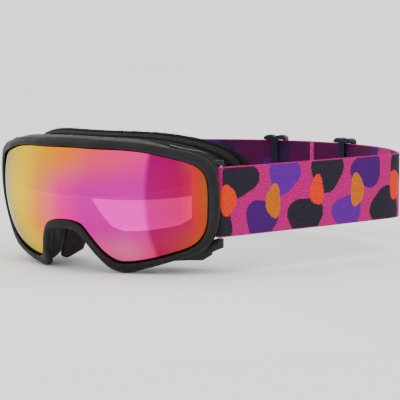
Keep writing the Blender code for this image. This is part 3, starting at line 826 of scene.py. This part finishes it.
def strap_line():
    """Centre line of the left half: sewn inner leg, round the pin, and back to the seam."""
    radius = PIN_R + 0.25 * MM + STRAP_T / 2
    arc = [(BACK_RADIUS * math.sin(math.radians(a)),
            BACK_CENTRE_Y + BACK_RADIUS * math.cos(math.radians(a)))
           for a in range(ARC_START, -1, -2)]
    side = [(x * MM, y * MM) for x, y in SIDE_PATH]
    ahead = Vector((side[1][0] - side[0][0], side[1][1] - side[0][1])).normalized()
    out = Vector((ahead.y, -ahead.x))
    pin = Vector((PIN_X, PIN_Y))
    points = []
    for along in (20.0, 14.0, 9.0, 6.2, 4.0, 1.8):
        blend = min(1.0, max(0.0, along - 1.6) / 4.6)
        blend = blend * blend * (3 - 2 * blend)
        offset = -radius + (2 * radius - STRAP_T - 0.15 * MM) * blend
        points.append(pin + out * offset + ahead * along * MM)
    for i in range(13):
        turn = math.pi * (1 - i / 12)
        points.append(pin + (out * math.cos(turn) - ahead * math.sin(turn)) * radius)
    points.append(pin + out * radius + ahead * 6.0 * MM)
    line = [tuple(p) for p in points] + side + arc
    line[-1] = (0.1 * MM, arc[-1][1])
    return spline(line, 8, False)


def resample(line, spacing):
    """Even steps along a line, and each new point's distance along it."""
    steps = np.linalg.norm(np.diff(line, axis=0), axis=1)
    distance = np.concatenate([[0], np.cumsum(steps)])
    even = np.linspace(0, distance[-1], int(round(distance[-1] / spacing)) + 1)
    return np.stack([np.interp(even, distance, line[:, k]) for k in (0, 1)], 1), even


def build_webbing(side, tag, materials):
    """One half of the strap as a closed band, with a thread colour for each face."""
    path, along = resample(strap_line(), WEB_SPACING)
    direction = np.gradient(path, axis=0)
    direction /= np.linalg.norm(direction, axis=1)[:, None]
    normal = np.stack([direction[:, 1], -direction[:, 0]], 1)
    rows = WEB_ROWS
    up = np.linspace(-STRAP_W / 2, STRAP_W / 2, rows + 1)
    roll = np.clip((abs(up) - STRAP_W / 2 + EDGE_ROLL) / EDGE_ROLL, 0, 1)
    edge = 1 - roll ** 2 * EDGE_THINNING
    verts = []
    for sign in (1, -1):
        for z, thin in zip(up, edge):
            half = STRAP_T / 2 * thin * sign
            x = (path[:, 0] + normal[:, 0] * half) * side
            y = path[:, 1] + normal[:, 1] * half - PIN_Y + PIVOT.y
            verts.append(np.stack([x, y, np.full(len(x), z + PIVOT.z)], 1))
    verts = np.concatenate(verts)
    columns = len(path)
    sheet = grid_faces(rows + 1, columns, False, False)
    shift = (rows + 1) * columns
    faces = list(sheet) + [tuple(i + shift for i in f) for f in sheet]
    for i in range(columns - 1):
        for row in (0, rows * columns):
            faces.append((row + i, row + i + 1, row + i + 1 + shift, row + i + shift))
    for j in range(rows):
        for column in (0, columns - 1):
            a = j * columns + column
            faces.append((a, a + columns, a + columns + shift, a + shift))
    piece = make_object("webbing_" + tag, verts, faces, materials[0], 60)
    for material in materials[1:]:
        piece.data.materials.append(material)
    # The print starts where the outer leg passes the side path's first point
    start = along[np.argmin(abs(path[:, 1] - 50 * MM) + (path[:, 0] < 81.5 * MM))]
    distance = (np.tile(along, 2 * (rows + 1)) - start) / MM
    height = np.tile(np.repeat(up, columns), 2) / MM
    count = len(piece.data.polygons)
    loops = np.zeros(len(piece.data.loops), int)
    piece.data.loops.foreach_get("vertex_index", loops)
    layer = piece.data.uv_layers.new(name="weave")
    weave = np.stack([distance[loops], height[loops]], 1).astype(np.float32)
    layer.data.foreach_set("uv", weave.ravel())
    first = loops.reshape(count, 4)
    u = distance[first].mean(1)
    v = height[first].mean(1)
    inner = (first >= shift).all(1)
    face = thread_index(u if side > 0 else u + RIGHT_SHIFT, v if side > 0 else -v)
    index = np.where(inner, inner_threads(face, side), face)
    index[abs(v) > BINDING_START] = 0
    piece.data.polygons.foreach_set("material_index", index.astype(np.int32))
    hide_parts("strap_band_" + tag, "strap_sewn_end_" + tag)
    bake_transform(piece)


def inner_threads(face, side):
    """Thread colours of the strap's inside, behind each face colour."""
    names = list(THREADS)
    swap = BACK_THREADS[side]
    return np.array([names.index(swap[name]) for name in names])[face]


def build_strap():
    """Both halves of the webbing, and the tape with its stitches over the back seam."""
    materials = [webbing_thread("thread_" + name, colour) for name, colour in THREADS.items()]
    for side, tag in ((1, "left"), (-1, "right")):
        build_webbing(side, tag, materials)
    low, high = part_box("seam_tape")
    verts = []
    rows = 60
    profile = ((-1, 0.2), (-0.85, 0.7), (-0.4, 1), (0.4, 1), (0.85, 0.7), (1, 0.2), (1, 0), (-1, 0))
    for j in range(rows + 1):
        z = low.z + (high.z - low.z) * j / rows
        for x, lift in profile:
            verts.append((x * high.x, high.y - lift * (high.y - low.y), z))
    faces = grid_faces(rows + 1, len(profile), False, True)
    last = rows * len(profile)
    faces += [list(range(len(profile))), list(range(last, last + len(profile)))]
    tape = make_object("seam_tape_cloth", verts, faces, SEAM_CLOTH, 60)
    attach(tape, "strap")
    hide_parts("seam_tape")
    stitch_rows(low, high)


def stitch(start, end, lift, radius):
    """One raised thread: a short bowed bar between two needle holes."""
    rings = 5
    corners = 6
    axis = end - start
    across = axis.cross(lift).normalized()
    away = lift.normalized()
    verts = []
    for j in range(rings):
        t = j / (rings - 1)
        centre = start + axis * t + away * radius * (4 * t * (1 - t) - 0.4)
        for i in range(corners):
            turn = math.tau * i / corners
            verts.append(centre + (across * math.cos(turn) + away * math.sin(turn)) * radius)
    faces = grid_faces(rings, corners, False, True)
    faces += [list(range(corners)), list(range((rings - 1) * corners, rings * corners))]
    return verts, faces


def stitch_rows(low, high):
    """Two rows of stitches down the seam tape."""
    parts = []
    for x in (-0.0009, 0.0009):
        z = low.z + 1.0 * MM
        while z < high.z - 2.5 * MM:
            parts.append(stitch(Vector((x, low.y, z)), Vector((x, low.y, z + 1.9 * MM)),
                                Vector((0, -1, 0)), 0.00017))
            z += 2.5 * MM
    seam = join_parts("seam_stitches", parts, STITCH_THREAD)
    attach(seam, "strap")


# ------------------------------------------------------------------ studio

def build_stage():
    """The floor, and a bright card on it that only reflections see."""
    bpy.ops.mesh.primitive_plane_add(size=6.0, location=(0, 0, CAD_BOX[0][2] - 0.0002))
    floor = bpy.context.object
    floor.name = "studio_floor"
    pale = Surface("floor_pale", FLOOR_COLOUR, 0.9, Specular_IOR_Level=0.1)
    floor.data.materials.append(pale.material)
    card_data = bpy.data.meshes.new("light_card")
    card_data.from_pydata([(x, y, CAD_BOX[0][2] + 0.0004) for x, y in CARD], [],
                          [tuple(range(len(CARD)))])
    card = bpy.data.objects.new("light_card", card_data)
    bpy.context.scene.collection.objects.link(card)
    glow = bpy.data.materials.new("card_glow")
    glow.use_nodes = True
    glow.node_tree.nodes.clear()
    light = glow.node_tree.nodes.new("ShaderNodeEmission")
    light.inputs["Strength"].default_value = CARD_STRENGTH
    out = glow.node_tree.nodes.new("ShaderNodeOutputMaterial")
    glow.node_tree.links.new(light.outputs["Emission"], out.inputs["Surface"])
    card_data.materials.append(glow)
    card.visible_camera = False
    card.visible_diffuse = False
    card.visible_shadow = False
    card.visible_transmission = False


def add_light(name, spot, aim, size, power):
    """Soft lamp that reflections don't see."""
    data = bpy.data.lights.new(name, "AREA")
    data.shape = "RECTANGLE"
    data.size, data.size_y = size
    data.energy = power
    lamp = bpy.data.objects.new(name, data)
    bpy.context.scene.collection.objects.link(lamp)
    lamp.location = spot
    lamp.rotation_euler = (Vector(aim) - Vector(spot)).to_track_quat("-Z", "Y").to_euler()
    lamp.visible_glossy = False


def build_studio():
    world = bpy.data.worlds.new("studio")
    world.use_nodes = True
    world.node_tree.nodes["Background"].inputs["Color"].default_value = (1.0, 1.0, 1.0, 1.0)
    world.node_tree.nodes["Background"].inputs["Strength"].default_value = WORLD_STRENGTH
    bpy.context.scene.world = world
    add_light("soft_top", (-0.3, -0.4, 1.6), (0, 0, 0), (1.6, 1.6), 4.5)
    add_light("soft_front_left", (-1.1, -1.3, 0.7), (0, -0.05, 0.04), (0.9, 0.9), 4.0)
    add_light("soft_right", (1.5, -0.6, 0.8), (0, 0.05, 0.04), (0.7, 0.9), 2.0)


def build_camera():
    """Camera at the photograph's viewing angle."""
    azimuth = math.radians(CAMERA_AZIMUTH)
    height = math.radians(CAMERA_HEIGHT)
    back = Vector((math.sin(azimuth) * math.cos(height), -math.cos(azimuth) * math.cos(height),
                   math.sin(height)))
    target = Vector((CAMERA_ASIDE, PIVOT.y - PIN_Y, PIVOT.z - STRAP_MID))
    data = bpy.data.cameras.new("camera")
    data.lens = CAMERA_LENS
    data.sensor_width = 36.0
    data.clip_start = 0.01
    camera = bpy.data.objects.new("camera", data)
    bpy.context.scene.collection.objects.link(camera)
    camera.location = target + back * CAMERA_DISTANCE
    camera.rotation_euler = (-back).to_track_quat("-Z", "Y").to_euler()
    bpy.context.scene.camera = camera


CAMERA_AZIMUTH = 37.0        # degrees
CAMERA_HEIGHT = 5.6          # degrees above level
CAMERA_ASIDE = 0.092         # the point aimed at, metres to the wearer's left of the middle
CAMERA_DISTANCE = 1.09       # metres
CAMERA_LENS = 178.5          # mm
FLOOR_COLOUR = (249, 249, 249)
WORLD_STRENGTH = 1.6
CARD_STRENGTH = 3.0
# Outline of the card on the floor, in metres, fitted to the light patch on the photograph's lens
CARD = ((-0.19, -0.884), (0.276, -0.231), (0.126, -0.13), (0.1, -0.13), (0.042, -0.152),
        (0.03, -0.166), (0.005, -0.246))

FRAME_PLASTIC = moulded("frame_plastic_matt", (25, 25, 26), (33, 33, 34), 0.42, 0.55, 2600.0)
DARK_PLASTIC = moulded("flange_plastic_matt", (30, 30, 32), (37, 37, 39), 0.5, 0.6, 2200.0)
BRACKET_PLASTIC = moulded("bracket_plastic_satin", (32, 33, 35), (40, 41, 43), 0.28, 0.4, 2600.0)
SLIDER_PLASTIC = moulded("slider_plastic_satin", (22, 24, 34), (30, 32, 44), 0.35, 0.5, 2000.0)
FOAM_DENSE = foam("face_foam_dense", (20, 19, 20), (36, 34, 34), 900.0, 0.0004, 0.03)
FOAM_OPEN = foam("vent_foam_open", (20, 20, 22), (40, 40, 42), 700.0, 0.0006, 0.02)
FOAM_FINE = foam("spacer_foam_fine", (24, 24, 24), (34, 34, 34), 1400.0, 0.0002, 0.02)
FOAM_FLAP = foam("flap_foam_dense", (30, 24, 22), (52, 43, 40), 800.0, 0.0008, 0.04)
FLEECE = foam("fleece_pile_black", (15, 15, 16), (30, 30, 31), 1500.0, 0.0005, 0.06)
SEAM_CLOTH = foam("seam_cloth_pink", (160, 20, 90), (185, 45, 115), 1200.0, 0.0002, 0.1)
STITCH_THREAD = foam("stitch_thread_pink", (170, 30, 100), (200, 70, 140), 3000.0, 0.0001, 0.1)


# Edge rounding of the kept CAD parts, in metres
MOULDED_ROUND = 0.0005
PIN_ROUND = 0.0002


def main():
    build_camera()
    build_lenses()
    build_frame()
    build_face_foam()
    build_vent_foams()
    build_nose_flaps()
    build_strap()
    steel = Surface("pin_steel_brushed", (150, 150, 154), 0.3, Metallic=1.0)
    steel.roughness(steel.span(steel.noise(900.0), 0.22, 0.4))
    for tag in ("left", "right"):
        soften_node("strap_bracket_" + tag, MOULDED_ROUND, BRACKET_PLASTIC)
        soften_node("strap_pin_" + tag, PIN_ROUND, steel.material)
        soften_node("slider_" + tag, MOULDED_ROUND, SLIDER_PLASTIC)
    build_stage()
    build_studio()


main()
